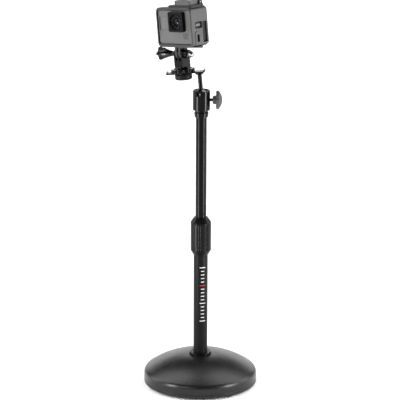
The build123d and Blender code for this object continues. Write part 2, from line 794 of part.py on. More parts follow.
def make_clamp_screw():
    washer_near = stack_half + face_gap
    washer_far = washer_near + clamp_washer_thick
    bore = clamp_shank / 2 + run_gap
    outward = adapter_place * Rotation(0, 180, 0)
    keep("clamp_washer", along_x(ring(clamp_washer_dia / 2, bore, washer_near, washer_far)), outward)
    shank_end = -stack_half - nut_boss_length
    shank_top = clamp_knob_start + clamp_screw_grip
    keep("clamp_screw", along_x(rod(clamp_shank / 2, shank_end, shank_top)), outward)

    neck = clamp_neck_dia / 2
    radius = clamp_knob_dia / 2
    outline = [
        Line((0, 0, clamp_knob_start), (clamp_flange, 0, clamp_knob_start)),
        Line((clamp_flange, 0, clamp_knob_start), (clamp_flange, 0, clamp_knob_start + 1.6)),
        ThreePointArc((clamp_flange, 0, clamp_knob_start + 1.6), (neck + 0.2, 0, clamp_knob_start + 3.4),
                      (neck, 0, clamp_knob_start + 6.5)),
        ThreePointArc((neck, 0, clamp_knob_start + 6.5), (neck + 1.6, 0, clamp_knob_start + 15),
                      (radius - 0.6, 0, clamp_knob_end - 4.8)),
        ThreePointArc((radius - 0.6, 0, clamp_knob_end - 4.8), (radius, 0, clamp_knob_end - 3.0),
                      (radius - 0.9, 0, clamp_knob_end - 1.0)),
        crown_arc(radius - 0.9, clamp_knob_end - 1.0, clamp_knob_end),
        Line((0, 0, clamp_knob_end), (0, 0, clamp_knob_start)),
    ]
    knob = revolve(make_face(Curve() + outline), Axis.Z)
    flute = rod(flute_cut, clamp_knob_start + flute_begin, clamp_knob_end + 5)
    flute += Location((0, 0, clamp_knob_start + flute_begin)) * Sphere(flute_cut)
    for spot in around(clamp_flutes, radius + flute_out, flute_first):
        knob -= spot * flute
    knob -= rod(clamp_shank / 2 + press_gap, clamp_knob_start - past, shank_top + face_gap)
    keep("clamp_knob", along_x(knob), outward)


# ---- Skeleton frame ------------------------------------------------------------------------------------
def make_frame_shell():
    half_depth = frame_depth / 2
    shell = rounded_slab(frame_width, frame_height, frame_corner, -half_depth, half_depth)
    front_edges = shell.edges().group_by(Axis.Y)[0]
    shell = chamfer(front_edges, front_break)
    rear_edges = shell.edges().group_by(Axis.Y)[-1]
    shell = chamfer(rear_edges, rear_break)
    hollow = rounded_slab(inner_width, inner_height, body_corner, -half_depth - past, half_depth - frame_rim)
    shell -= Location((0, 0, inner_rise)) * hollow
    rear_hole = rounded_slab(inner_width - 2 * rear_margin, inner_height - 2 * rear_margin, 3.0,
                             0, half_depth + 1)
    shell -= Location((0, 0, inner_rise)) * rear_hole

    # Openings in the near side: button field in front, tall vent slot behind.
    side_out = (frame_width / 2 - frame_side - past, frame_width / 2 + past)
    button_field = rounded_slab(side_window_width, side_window_height, 2.0, side_out[0], side_out[1])
    button_field = Rotation(0, 0, -90) * button_field
    shell -= Location((0, mode_place, mode_up)) * button_field
    vent = block(side_out, (vent_front, half_depth - frame_rim - vent_margin),
                 (-frame_height / 2 + vent_low, vent_high))
    vent = fillet(vent.edges().filter_by(Axis.X), 1.5)
    shell -= vent

    # Arch-shaped pad with a slot below the button field.
    pad_floor = -frame_height / 2 + pad_low
    pad_radius = pad_width / 2
    pad_span = (frame_width / 2 - pad_rise, frame_width / 2 + pad_rise)
    arch_centre = pad_high - pad_radius
    pad = block(pad_span, (pad_place - pad_radius, pad_place + pad_radius), (pad_floor, arch_centre))
    pad += Location((0, pad_place, arch_centre)) * along_x(rod(pad_radius, *pad_span))
    outer_rim = pad.edges().group_by(Axis.X)[-1]
    shell += chamfer(outer_rim, pad_rise / 2)
    pad_slot = block((side_out[0], side_out[1] + pad_rise),
                     (pad_place - pad_slot_width / 2, pad_place + pad_slot_width / 2),
                     (pad_floor + pad_slot_low, pad_high - pad_slot_high))
    shell -= fillet(pad_slot.edges().filter_by(Axis.X), pad_slot_width / 2 - press_gap)

    # Opening for the side door.
    far_out = (-frame_width / 2 - past, -frame_width / 2 + frame_side + past)
    room_half = door_depth / 2 + door_room_side
    room_rise = door_height / 2 + door_room_end
    door_room = block(far_out, (door_place - room_half, door_place + room_half),
                      (door_up - room_rise, door_up + room_rise))
    shell -= door_room

    # Window over the shutter button, open to the far side.
    top = frame_height / 2
    window = block((-frame_width / 2 - 1, window_end), (-half_depth + top_band, window_rear),
                   (top - frame_top - 1, top + 1))
    window = fillet(window.edges().filter_by(Axis.Z), 2.0)
    shell -= window

    # Boss that carries the latch.
    boss_right = frame_width / 2 - boss_margin
    boss = block((boss_left, boss_right), (-half_depth + boss_margin, boss_rear), (top - 0.5, boss_top))
    boss = fillet(boss.edges().filter_by(Axis.Z), 2.0)
    boss = chamfer(boss.faces().sort_by(Axis.Z)[-1].edges(), 0.4)
    shell += boss

    # Lower rear corner is cut away at a slant.
    corner_cut = Rotation(45, 0, 0) * Box(frame_width + 2 * past, rear_cut, rear_cut)
    shell -= Location((0, half_depth, -frame_height / 2)) * corner_cut

    # Two fingers that reach down between the prongs.
    for side in (-1, 1):
        middle = side * (prong_thick + prong_gap) / 2
        finger = block((middle - finger_thick / 2, middle + finger_thick / 2), (-prong_radius, prong_radius),
                       (0, frame_lift + 0.5))
        finger += Location((middle, 0, 0)) * along_x(Cylinder(prong_radius, finger_thick))
        finger -= Location((middle, 0, 0)) * along_x(Cylinder(clamp_hole / 2, finger_thick + 2))
        shell += Location((-frame_shift, -frame_back, -frame_height / 2 - frame_lift)) * finger

    # Low wedge-shaped foot under the near lower edge.
    underside = -frame_height / 2
    wedge = make_face(Polyline([
        (0, skid_front, underside + 0.5),
        (0, skid_front, underside),
        (0, skid_rear, underside - skid_drop),
        (0, skid_rear + skid_drop, underside),
        (0, skid_rear + skid_drop, underside + 0.5),
    ], close=True))
    skid = extrude(wedge, skid_width, dir=(1, 0, 0))
    shell += Location((frame_width / 2 - boss_margin - skid_width, 0, 0)) * skid

    # Hinge lugs of the latch.
    for lug_start in (latch_left - thin_gap - lug_thick, latch_right + thin_gap):
        lug = block((lug_start, lug_start + lug_thick),
                    (latch_pin_y - knuckle_radius, latch_pin_y + knuckle_radius),
                    (boss_top - 0.5, latch_pin_z))
        lug += Location((lug_start + lug_thick / 2, latch_pin_y, latch_pin_z)) * along_x(
            Cylinder(knuckle_radius, lug_thick))
        shell += lug
    shell -= latch_bar(latch_pin_dia / 2 + press_gap, lug_thick + 1)
    keep("frame_shell", shell, frame_place)


def latch_bar(radius, overhang):
    """Round bar on the latch's hinge axis, reaching past the lever at both ends."""
    low = latch_left - thin_gap - overhang
    high = latch_right + thin_gap + overhang
    return Location((0, latch_pin_y, latch_pin_z)) * along_x(rod(radius, low, high))


def make_latch():
    low = boss_top + face_gap
    high = boss_top + latch_thick
    lever = block((latch_left, latch_right), (latch_front, latch_pin_y), (low, high))
    lever = fillet(lever.edges().filter_by(Axis.Z).group_by(Axis.Y)[0], 2.0)
    lever = chamfer(lever.faces().sort_by(Axis.Z)[-1].edges().filter_by(Axis.X), 0.6)
    lever += Location((0, latch_pin_y, latch_pin_z)) * along_x(rod(knuckle_radius, latch_left, latch_right))
    lever -= latch_bar(latch_pin_dia / 2 + run_gap, 1)
    middle = (latch_left + latch_right) / 2
    grip = block((middle - grip_width / 2, middle + grip_width / 2),
                 (latch_front + grip_front, latch_front + grip_rear), (high - 0.1, high + grip_rise))
    lever += fillet(grip.edges().filter_by(Axis.Z), 0.9)
    keep("latch_lever", lever, frame_place)
    keep("latch_pin", latch_bar(latch_pin_dia / 2, lug_thick - 0.3), frame_place)


# ---- Camera ------------------------------------------------------------------------------------------------
def make_camera_shells():
    place = frame_place * Location((0, 0, inner_rise))
    solid = rounded_slab(body_width, body_height, body_corner - thin_gap, front_plane, rear_plane)
    solid = fillet(solid.edges().group_by(Axis.Y)[0], 1.2)
    room = rounded_slab(body_width - 2 * shell_wall, body_height - 2 * shell_wall, body_corner - shell_wall,
                        front_plane + shell_wall, rear_plane - shell_wall)
    hollow = solid - room
    wide = 2 * frame_width
    front_half = block((-wide, wide), (front_plane - 5, split_place), (-wide, wide))
    rear_half = block((-wide, wide), (split_place + face_gap, rear_plane + 5), (-wide, wide))

    front = hollow & front_half
    lens_hole = rounded_slab(block_width + 2 * press_gap, block_height + 2 * press_gap, 2.6,
                             front_plane - 1, front_plane + shell_wall + 1)
    front -= Location((lens_across, 0, lens_up)) * lens_hole
    display_hole = rounded_slab(display_width + 0.3, display_height + 0.3, 1.6,
                                front_plane - 1, front_plane + shell_wall + 1)
    front -= Location((display_across, 0, display_up)) * display_hole
    mic = rounded_slab(mic_width, mic_height, mic_width / 2 - 0.02, front_plane - 1, front_plane + 0.9)
    front -= Location((mic_across, 0, display_up)) * mic
    slot = rounded_slab(grille_length, grille_width, grille_width / 2 - press_gap, front_plane - past,
                        front_plane + grille_depth)
    for row in range(grille_rows):
        front -= Location((grille_across, 0, grille_up + grille_pitch * row)) * slot
    half_width = body_width / 2
    mode_hole = rounded_slab(mode_length + 2 * thin_gap, mode_height + 2 * thin_gap, 1.5,
                             half_width - shell_wall - past, half_width + past)
    mode_cut = Location((0, mode_place, mode_up - inner_rise)) * Rotation(0, 0, -90) * mode_hole
    shutter_cut = rod(shutter_dia / 2 + thin_gap, body_height / 2 - shell_wall - 1, body_height / 2 + 1)
    shutter_cut = Location((shutter_across, 0, 0)) * shutter_cut

    rear = hollow & rear_half
    rear -= shutter_cut
    rear -= mode_cut
    screen_hole = rounded_slab(screen_width + 0.2, screen_height + 0.2, 2.0, rear_plane - screen_thick,
                               rear_plane + 1)
    rear -= screen_hole

    # Ports behind the side door, and the door's hinge lugs.
    for port_rise, port_width, port_height in port_sizes:
        port_hole = rounded_slab(port_width, port_height, port_corner, half_width - shell_wall - past,
                                 half_width + past)
        port_place = Location((0, door_place, door_up + port_rise - inner_rise))
        port_cut = port_place * Rotation(0, 0, 90) * port_hole
        rear -= port_cut
    lug_x = (-half_width - door_thick, -half_width + 0.5)
    hinge_y = door_place - door_depth / 2 - hinge_margin
    hinge_x = -half_width - door_thick / 2
    for low, high in door_lugs():
        lug = block(lug_x, (hinge_y - 1.0, hinge_y + 1.0), (low - inner_rise, high - inner_rise))
        lug -= Location((hinge_x, hinge_y, (low + high) / 2 - inner_rise)) * Cylinder(
            door_pin_dia / 2 + press_gap, high - low + 2)
        front += lug
    keep("front_shell", front, place)
    keep("rear_shell", rear, place)


def door_lugs():
    """Height ranges of the two hinge lugs, above and below the door."""
    top = door_up + door_height / 2
    bottom = door_up - door_height / 2
    return [(top + thin_gap, top + 2.0), (bottom - 2.0, bottom - thin_gap)]


def make_lens():
    place = frame_place * Location((lens_across, 0, inner_rise + lens_up))
    front = front_plane - block_stand
    outer = rounded_slab(block_width, block_height, 2.6, front, front_plane + shell_wall - 0.1)
    outer = chamfer(outer.edges().group_by(Axis.Y)[0], 0.5)
    bezel_room = rounded_slab(block_width - 2 * block_wall, block_height - 2 * block_wall, 1.6,
                              front - 1, front + window_thick + 0.3)
    outer -= bezel_room
    tunnel_radius = barrel_dia / 2 + press_gap
    tunnel = Location((0, front_plane, 0), (90, 0, 0)) * Cylinder(tunnel_radius, 40)
    outer -= tunnel
    flange = rounded_slab(block_width + 3, block_height + 0.4, 2.6, front_plane + shell_wall + face_gap,
                          front_plane + shell_wall + 1.4)
    neck = rounded_slab(block_width, block_height, 2.6, front_plane, front_plane + shell_wall + 1.0)
    outer += (flange + neck) - tunnel
    keep("lens_housing", outer, place)

    pane = rounded_slab(block_width - 2 * block_wall - 0.2, block_height - 2 * block_wall - 0.2, 1.5,
                        front + 0.15, front + 0.15 + window_thick)
    keep("lens_window", pane, place)

    barrel_front = front + window_thick + 0.9
    barrel = Location((0, barrel_front + barrel_length, 0), (90, 0, 0)) * extrude(
        Circle(barrel_dia / 2), barrel_length)
    bore = Location((0, barrel_front + barrel_length, 0), (90, 0, 0)) * Cone(
        element_dia / 2 - 3, element_dia / 2 + thin_gap, 2 * barrel_length)
    barrel -= bore
    keep("lens_barrel", barrel, place)

    glass = Sphere(element_dia / 2 + element_bulge)
    glass &= block((-20, 20), (-20, -element_cut), (-20, 20))
    glass &= Rotation(90, 0, 0) * Cylinder(element_dia / 2 - 0.5, 40)
    tip = element_dia / 2 + element_bulge
    keep("front_element", Location((0, barrel_front + 0.25 + tip, 0)) * glass, place)

    sensor_y = barrel_front + barrel_length + 0.2
    keep("image_sensor", block((-sensor_width / 2, sensor_width / 2), (sensor_y, sensor_y + sensor_thick),
                                (-sensor_height / 2, sensor_height / 2)), place)
    board_y = sensor_y + sensor_thick + face_gap
    board = block((-sensor_board_width / 2, sensor_board_width / 2), (board_y, board_y + board_thick),
                  (-sensor_board_height / 2, sensor_board_height / 2))
    keep("sensor_board", board, place)


def make_camera_inside():
    place = frame_place * Location((0, 0, inner_rise))
    half_width = body_width / 2
    half_height = body_height / 2
    screen_low = rear_plane - screen_thick
    screen = rounded_slab(screen_width, screen_height, 1.9, screen_low + face_gap, rear_plane - 0.1)
    keep("touch_screen", screen, place)
    display = rounded_slab(display_width, display_height, 1.5, front_plane + 0.15, front_plane + 1.45)
    keep("status_display", Location((display_across, 0, display_up)) * display, place)
    board_y = rear_plane - screen_thick - 0.9
    board = block((-half_width + board_margin, half_width - board_margin), (board_y - board_thick, board_y),
                  (-half_height + board_margin, half_height - board_margin))
    keep("main_board", board, place)
    cell_start = -half_width + cell_margin
    battery = block((cell_start, cell_start + cell_length), (cell_front, cell_rear),
                    (-half_height + cell_low, cell_high))
    battery = fillet(battery.edges().filter_by(Axis.Z), 1.2)
    keep("battery", battery, place)
    speaker = Location(speaker_at, (90, 0, 0)) * Cylinder(speaker_dia / 2, speaker_thick)
    keep("speaker", speaker, place)


def make_buttons():
    place = frame_place * Location((0, 0, inner_rise))
    half_width = body_width / 2
    half_height = body_height / 2
    top = half_height + shutter_rise
    shutter = rod(shutter_dia / 2, half_height - shell_wall + 0.1, top)
    shutter = fillet(shutter.edges().filter_by(GeomType.CIRCLE).sort_by(Axis.Z)[-1], 0.5)
    keep("shutter_button", Location((shutter_across, 0, 0)) * shutter, place)
    mode = rounded_slab(mode_length, mode_height, 1.4, half_width - shell_wall + 0.1, half_width + mode_rise)
    mode = Rotation(0, 0, -90) * mode
    mode = Location((0, mode_place, mode_up - inner_rise)) * mode
    keep("mode_button", mode, place)


def make_side_door():
    half_width = body_width / 2
    inside = -half_width - face_gap
    outside = -half_width - door_thick
    hinge_y = door_place - door_depth / 2 - hinge_margin
    hinge_x = -half_width - door_thick / 2
    low = door_up - door_height / 2
    high = door_up + door_height / 2
    door = block((outside, inside), (hinge_y + hinge_margin, door_place + door_depth / 2), (low, high))
    far_edges = door.edges().filter_by(Axis.X).group_by(Axis.Y)[-1]
    door = fillet(far_edges, 2.0)
    knuckle = Location((hinge_x, hinge_y, door_up)) * Cylinder((outside - inside) / -2, door_height)
    link = block((outside + 0.2, inside - 0.2), (hinge_y, hinge_y + 1.6), (low, high))
    door += knuckle
    door += link
    door -= Location((hinge_x, hinge_y, door_up)) * Cylinder(door_pin_dia / 2 + run_gap, door_height + 2)
    catch_y = door_place + door_depth / 2 - 3.4
    catch_room = block((outside - 1, outside + 0.9),
                       (catch_y - catch_height / 2 - thin_gap, catch_y + catch_height / 2 + thin_gap),
                       (door_up - catch_length / 2 - thin_gap,
                        door_up + catch_length / 2 + catch_travel + thin_gap))
    door -= catch_room
    keep("side_door", door, frame_place)
    catch = block((outside - 0.3, outside + 0.8), (catch_y - catch_height / 2, catch_y + catch_height / 2),
                  (door_up - catch_length / 2, door_up + catch_length / 2))
    keep("door_catch", catch, frame_place)
    pin_low = door_lugs()[1][0]
    pin_high = door_lugs()[0][1]
    pin = Location((hinge_x, hinge_y, 0)) * rod(door_pin_dia / 2, pin_low, pin_high)
    keep("door_pin", pin, frame_place)


make_base()
make_feet()
make_base_bolt()
make_lower_tube()
make_clutch()
make_upper_tube()
make_thread_adapter()
make_ball_socket()
make_ball_and_stem()
make_lock_knob()
make_plate()
make_camera_screw()
make_adapter()
make_clamp_screw()
make_frame_shell()
make_latch()
make_camera_shells()
make_lens()
make_camera_inside()
make_buttons()
make_side_door()

os.makedirs("parts", exist_ok=True)
for name, shape in pieces.items():
    export_step(shape, "parts/" + name + ".step")
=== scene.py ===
import json
import math

import bpy
from mathutils import Matrix, Vector


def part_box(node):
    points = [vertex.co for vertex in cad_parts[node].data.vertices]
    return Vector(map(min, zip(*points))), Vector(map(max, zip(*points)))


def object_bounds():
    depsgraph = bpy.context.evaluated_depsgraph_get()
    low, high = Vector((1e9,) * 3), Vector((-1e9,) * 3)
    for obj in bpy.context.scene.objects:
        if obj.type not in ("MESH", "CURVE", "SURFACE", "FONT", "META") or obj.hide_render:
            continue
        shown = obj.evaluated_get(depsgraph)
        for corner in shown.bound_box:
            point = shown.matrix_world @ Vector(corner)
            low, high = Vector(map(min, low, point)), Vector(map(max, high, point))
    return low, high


# Looks of a desk stand: weighted base, two-stage tube with twist clutch, ball
# head, slotted plate, three-prong adapter and a camera in a skeleton frame.

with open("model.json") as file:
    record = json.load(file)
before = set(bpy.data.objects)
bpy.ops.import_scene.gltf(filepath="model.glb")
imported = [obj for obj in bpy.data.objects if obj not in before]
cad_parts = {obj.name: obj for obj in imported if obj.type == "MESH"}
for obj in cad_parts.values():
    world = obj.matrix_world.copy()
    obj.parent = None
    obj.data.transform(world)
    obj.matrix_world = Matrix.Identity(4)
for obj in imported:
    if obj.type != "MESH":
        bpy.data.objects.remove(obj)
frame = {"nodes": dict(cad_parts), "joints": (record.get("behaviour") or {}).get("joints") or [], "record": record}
cad_low, cad_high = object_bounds()

MM = 0.001
NONE = (0, 0, 0)
FULL = (1, 1, 1)


# ---- Shader sums ---------------------------------------------------------------
class Reading:
    """A number or vector that nodes work out, written as Python sums."""

    def __init__(self, tree, socket):
        self.tree = tree
        self.socket = socket

    def step(self, operation, left, right=None, clamp=False):
        node = self.tree.nodes.new("ShaderNodeMath")
        node.operation = operation
        node.use_clamp = clamp
        for slot, value in zip(node.inputs, (left, right)):
            if isinstance(value, Reading):
                self.tree.links.new(value.socket, slot)
            elif value is not None:
                slot.default_value = value
        return Reading(self.tree, node.outputs[0])

    def __add__(self, other):
        return self.step("ADD", self, other)

    def __radd__(self, other):
        return self.step("ADD", other, self)

    def __sub__(self, other):
        return self.step("SUBTRACT", self, other)

    def __rsub__(self, other):
        return self.step("SUBTRACT", other, self)

    def __mul__(self, other):
        return self.step("MULTIPLY", self, other)

    def __rmul__(self, other):
        return self.step("MULTIPLY", other, self)

    def __truediv__(self, other):
        return self.step("DIVIDE", self, other)

    def __gt__(self, other):
        return self.step("GREATER_THAN", self, other)

    def __lt__(self, other):
        return self.step("LESS_THAN", self, other)

    def size(self):
        return self.step("ABSOLUTE", self)

    def remainder(self, other):
        return self.step("FLOORED_MODULO", self, other)

    def held(self):
        """The reading kept between 0 and 1."""
        return self.step("MULTIPLY", self, 1.0, clamp=True)


class Finish:
    """One surface finish: a principled shader and the readings that feed it."""

    def __init__(self, name, colour, roughness, metallic=0.0, specular=0.5, coat=0.0, coat_roughness=0.1):
        self.material = bpy.data.materials.new(name)
        self.material.use_nodes = True
        self.tree = self.material.node_tree
        self.shader = self.tree.nodes["Principled BSDF"]
        self.shader.inputs["Base Color"].default_value = (*colour, 1.0)
        self.shader.inputs["Roughness"].default_value = roughness
        self.shader.inputs["Metallic"].default_value = metallic
        self.shader.inputs["Specular IOR Level"].default_value = specular
        self.shader.inputs["Coat Weight"].default_value = coat
        self.shader.inputs["Coat Roughness"].default_value = coat_roughness
        self.place = self.add("ShaderNodeTexCoord", {}, {}, "Object")

    def add(self, kind, settings, inputs, output=0):
        """Adds a node with its settings and inputs and gives one of its outputs."""
        node = self.tree.nodes.new(kind)
        stops = settings.pop("stops", None)
        for key, value in settings.items():
            setattr(node, key, value)
        if stops:
            ramp = node.color_ramp
            while len(ramp.elements) < len(stops):
                ramp.elements.new(0.5)
            for element, (at, colour) in zip(ramp.elements, stops):
                element.position = at
                element.color = (*colour, 1.0)
        for key, value in inputs.items():
            if isinstance(value, Reading):
                self.tree.links.new(value.socket, node.inputs[key])
            else:
                node.inputs[key].default_value = value
        return Reading(self.tree, node.outputs[output])

    def stretched(self, scale):
        """Object place with each axis scaled, for grain that runs one way."""
        return self.add("ShaderNodeMapping", {}, {"Vector": self.place, "Scale": scale})

    def from_axis(self, point, axis):
        """Distance from a line in space."""
        away = self.add("ShaderNodeVectorMath", {"operation": "SUBTRACT"}, {0: self.place, 1: point})
        across = self.add("ShaderNodeVectorMath", {"operation": "CROSS_PRODUCT"}, {0: away, 1: axis})
        return self.add("ShaderNodeVectorMath", {"operation": "LENGTH"}, {0: across}, "Value")

    def along(self, point, axis):
        """Distance past a point, measured along an axis."""
        away = self.add("ShaderNodeVectorMath", {"operation": "SUBTRACT"}, {0: self.place, 1: point})
        return self.add("ShaderNodeVectorMath", {"operation": "DOT_PRODUCT"}, {0: away, 1: axis}, "Value")

    def noise(self, scale, detail=3.0, rough=0.5, place=None):
        return self.add("ShaderNodeTexNoise", {}, {"Vector": place or self.place, "Scale": scale,
                                                   "Detail": detail, "Roughness": rough})

    def cells(self, scale):
        return self.add("ShaderNodeTexVoronoi", {}, {"Vector": self.place, "Scale": scale}, "Distance")

    def axes(self):
        node = self.tree.nodes.new("ShaderNodeSeparateXYZ")
        self.tree.links.new(self.place.socket, node.inputs[0])
        return [Reading(self.tree, socket) for socket in node.outputs]

    def between(self, share, low, high):
        """Colour from low to high by share."""
        return self.add("ShaderNodeMix", {"data_type": "RGBA"}, {0: share, 6: low, 7: high}, 2)

    def ramp(self, share, stops):
        return self.add("ShaderNodeValToRGB", {"stops": stops}, {"Fac": share})

    def rounded(self, radius):
        """Normal with small rounded edges."""
        return self.add("ShaderNodeBevel", {"samples": 4}, {"Radius": radius})

    def feed(self, socket, reading):
        self.tree.links.new(reading.socket, self.shader.inputs[socket])

    def bump(self, height, depth, strength, edge=0.0):
        inputs = {"Height": height, "Distance": depth, "Strength": strength}
        if edge:
            inputs["Normal"] = self.rounded(edge)
        self.feed("Normal", self.add("ShaderNodeBump", {}, inputs))


def middle(node):
    low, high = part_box(node)
    return (low + high) / 2


def grey(level, warm=0.0):
    return (level * (1 + warm), level, level * (1 - warm), 1.0)


# The camera sits turned and tilted on the stand. Its two buttons press along its
# own directions, so those come from them.
moves = {joint["name"]: Vector(joint["axis"]) for joint in frame["joints"]}
camera_across = -moves["mode_press"]
camera_up = -moves["shutter_press"]
camera_back = camera_up.cross(camera_across)
lens_point = middle("lens_barrel")


# ---- Finishes ------------------------------------------------------------------
def coated_casting():
    """Sand-textured powder coat with handling marks."""
    finish = Finish("powder_coat_black", (0.02, 0.02, 0.021), 0.3, specular=0.3)
    grain = finish.cells(1500.0)
    fine = finish.noise(2600.0, 2.0)
    broad = finish.noise(14.0, 4.0, 0.6)
    dust = finish.noise(160.0, 5.0, 0.7)
    wear = finish.ramp(dust, [(0.0, NONE), (0.62, NONE), (0.8, FULL)])
    colour = finish.between(broad, grey(0.003), grey(0.008))
    colour = finish.between(wear * 0.3, colour, grey(0.045))
    finish.feed("Base Color", colour)
    finish.feed("Roughness", 0.2 + 0.08 * broad + 0.08 * fine)
    finish.bump(grain * 0.6 + fine * 0.5, depth=0.16 * MM, strength=0.55, edge=0.6 * MM)
    return finish.material


def painted_tube(name, level, roughness):
    """Sprayed tube with faint orange peel and lengthwise rub marks."""
    finish = Finish(name, (level,) * 3, roughness, specular=0.11)
    peel = finish.noise(420.0, 2.0)
    rubs = finish.noise(900.0, 3.0, 0.6, finish.stretched((1.0, 1.0, 0.02)))
    smears = finish.noise(26.0, 4.0, 0.65, finish.stretched((1.0, 1.0, 0.25)))
    finish.paint = finish.between(rubs, grey(level * 0.75), grey(level * 1.5))
    finish.feed("Base Color", finish.paint)
    finish.feed("Roughness", roughness + 0.08 * smears + 0.04 * rubs)
    finish.bump(peel + rubs * 0.25, depth=0.03 * MM, strength=0.4, edge=0.3 * MM)
    return finish


def scale_tube():
    """Lower tube: satin black with a printed height scale on its front."""
    finish = painted_tube("satin_black_scale", 0.003, 0.28)
    x, y, z = finish.axes()
    low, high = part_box("lower_tube")
    radius = (high.x - low.x) / 2

    # A mark every step, every fifth one longer, and one of them red.
    scale_start = low.z + 67 * MM
    scale_length = 75 * MM
    step = 5 * MM
    steps_to_long = 5
    steps_to_red = 10
    half_line = 0.55 * MM
    short_reach = 2.3 * MM
    extra_reach = 1.5 * MM
    off_centre = 0.2 * MM
    rise = z - scale_start
    from_line = (rise + 0.5 * step).remainder(step) - 0.5 * step
    long_step = steps_to_long * step
    from_long = (rise + 0.5 * long_step).remainder(long_step) - 0.5 * long_step
    is_long = from_long.size() < 0.5 * step
    is_red = (rise - steps_to_red * step).size() < 0.5 * step
    span = (rise > -0.5 * step) * (rise < scale_length + 0.5 * step)

    # The marks face one way round the tube and stay off its back.
    facing = math.radians(-72)
    sideways = facing + math.pi / 2
    front = (x * math.cos(facing) + y * math.sin(facing)) > 0.25 * radius
    across = x * math.cos(sideways) + y * math.sin(sideways)
    inside = (across + off_centre).size() < short_reach + is_long * extra_reach

    mark = (from_line.size() < half_line) * inside * span * front
    worn = finish.noise(700.0, 3.0) * 0.5 + 0.72
    ink = finish.between(is_red, (0.62, 0.62, 0.6, 1.0), (0.5, 0.02, 0.015, 1.0))
    finish.feed("Base Color", finish.between((mark * worn).held(), finish.paint, ink))
    return finish.material


def moulded(name, level, roughness, grain=900.0, depth=0.04 * MM, edge=0.3 * MM, specular=0.4, tint=0.0):
    """Moulded plastic with spark-eroded grain and handling shine."""
    finish = Finish(name, (level,) * 3, roughness, specular=specular)
    fine = finish.noise(grain * 2.2, 2.0)
    cell = finish.cells(grain)
    flow = finish.noise(38.0, 4.0, 0.6)
    finish.feed("Base Color", finish.between(flow, grey(level * 0.82, tint), grey(level * 1.22, tint)))
    finish.feed("Roughness", roughness - 0.06 + 0.12 * flow + 0.06 * fine)
    finish.bump(cell * 0.5 + fine * 0.5, depth, 0.6, edge)
    return finish.material


def turned_metal(name, colour, roughness):
    """Metal with fine turning lines and small scratches."""
    finish = Finish(name, colour, roughness, metallic=1.0)
    rings = finish.noise(5200.0, 2.0, 0.5, finish.stretched((0.02, 0.02, 1.0)))
    scratch = finish.noise(520.0, 5.0, 0.75, finish.stretched((1.0, 0.08, 1.0)))
    broad = finish.noise(60.0, 3.0)
    dull = (*[c * 0.8 for c in colour], 1.0)
    bright = (*[min(1.0, c * 1.18) for c in colour], 1.0)
    finish.feed("Base Color", finish.between(broad, dull, bright))
    finish.feed("Roughness", roughness + 0.1 * scratch + 0.05 * broad)
    finish.bump(rings + scratch * 0.4, depth=0.01 * MM, strength=0.5, edge=0.3 * MM)
    return finish.material


def soft_touch():
    """Rubbery camera coat: fine pebble grain, a little dust, and a near-black stripe of painted shade where the
    microphone slot lies.
    """
    finish = Finish("soft_touch_grey", (0.15, 0.15, 0.155), 0.55, specular=0.3)
    pebble = finish.cells(1900.0)
    fine = finish.noise(4200.0, 2.0)
    broad = finish.noise(45.0, 4.0, 0.6)
    speck = finish.noise(900.0, 4.0, 0.7)
    colour = finish.between(broad, grey(0.085), grey(0.12))
    colour = finish.between((speck > 0.66) * 0.25, colour, grey(0.17))
    slot_from_display = 9.2 * MM
    half_slot_width = 0.65 * MM
    half_slot_height = 9.0 * MM
    display = middle("status_display")
    # Painted shade: a near-black stripe beside the display stands in for the shadow inside the slot.
    in_slot_shade_width = (finish.along(display, camera_across) + slot_from_display).size() < half_slot_width
    in_slot_shade_height = finish.along(display, camera_up).size() < half_slot_height
    finish.feed("Base Color", finish.between(in_slot_shade_width * in_slot_shade_height, colour, grey(0.002)))
    finish.feed("Roughness", 0.46 + 0.14 * broad + 0.06 * fine)
    finish.bump(pebble * 0.7 + fine * 0.3, depth=0.06 * MM, strength=0.6, edge=0.5 * MM)
    return finish.material


def frame_plastic():
    """Frame moulding: painted shade makes the gloss raised part under the latch near black, and painted light
    makes the near side lighter.
    """
    finish = Finish("frame_plastic", (0.04, 0.04, 0.04), 0.42, specular=0.3)
    fine = finish.noise(3800.0, 2.0)
    cell = finish.cells(1700.0)
    flow = finish.noise(38.0, 4.0, 0.6)
    boss_below_latch = 6.2 * MM
    side_past_button = 2.0 * MM
    # Painted shade: the raised part under the latch is made near black as if it lay in shadow.
    shaded_boss = finish.along(middle("latch_lever"), camera_up) > -boss_below_latch
    # Painted light: the near side of the frame is made lighter as if lit from that side.
    lit_near_side = finish.along(middle("mode_button"), camera_across) > side_past_button
    colour = finish.between(flow, grey(0.026), grey(0.04))
    colour = finish.between(lit_near_side, colour, grey(0.075))
    colour = finish.between(shaded_boss, colour, grey(0.005))
    finish.feed("Base Color", colour)
    finish.feed("Roughness", 0.36 + 0.12 * flow + 0.06 * fine)
    finish.bump(cell * 0.5 + fine * 0.5, depth=0.04 * MM, strength=0.6, edge=0.5 * MM)
    return finish.material


def glassy(name, colour, roughness, smudged):
    """Dark gloss pane over whatever is behind it, with faint smudges."""
    finish = Finish(name, colour, roughness, specular=0.6, coat=1.0, coat_roughness=0.02)
    smudge = finish.noise(70.0, 4.0, 0.65)
    fine = finish.noise(900.0, 2.0)
    finish.feed("Roughness", roughness + 0.08 * smudge)
    finish.feed("Base Color", finish.between(smudge, (*colour, 1.0), (*smudged, 1.0)))
    finish.bump(fine, depth=0.004 * MM, strength=0.3, edge=0.2 * MM)
    return finish.material


def lens_coating():
    """Coated front element: a violet and green sheen over black."""
    finish = Finish("coated_lens", (0.004, 0.004, 0.006), 0.03, specular=0.3)
    element_radius = 6.2 * MM
    out = finish.from_axis(lens_point, camera_back) / element_radius
    haze = finish.noise(160.0, 2.0)
    colour = finish.ramp(out + 0.1 * haze, [(0.0, (0.003, 0.003, 0.004)), (0.5, (0.004, 0.005, 0.012)),
                                            (0.8, (0.016, 0.012, 0.022)), (1.0, (0.01, 0.018, 0.014))])
    finish.feed("Base Color", colour)
    finish.feed("Roughness", 0.02 + 0.03 * haze)
    return finish.material


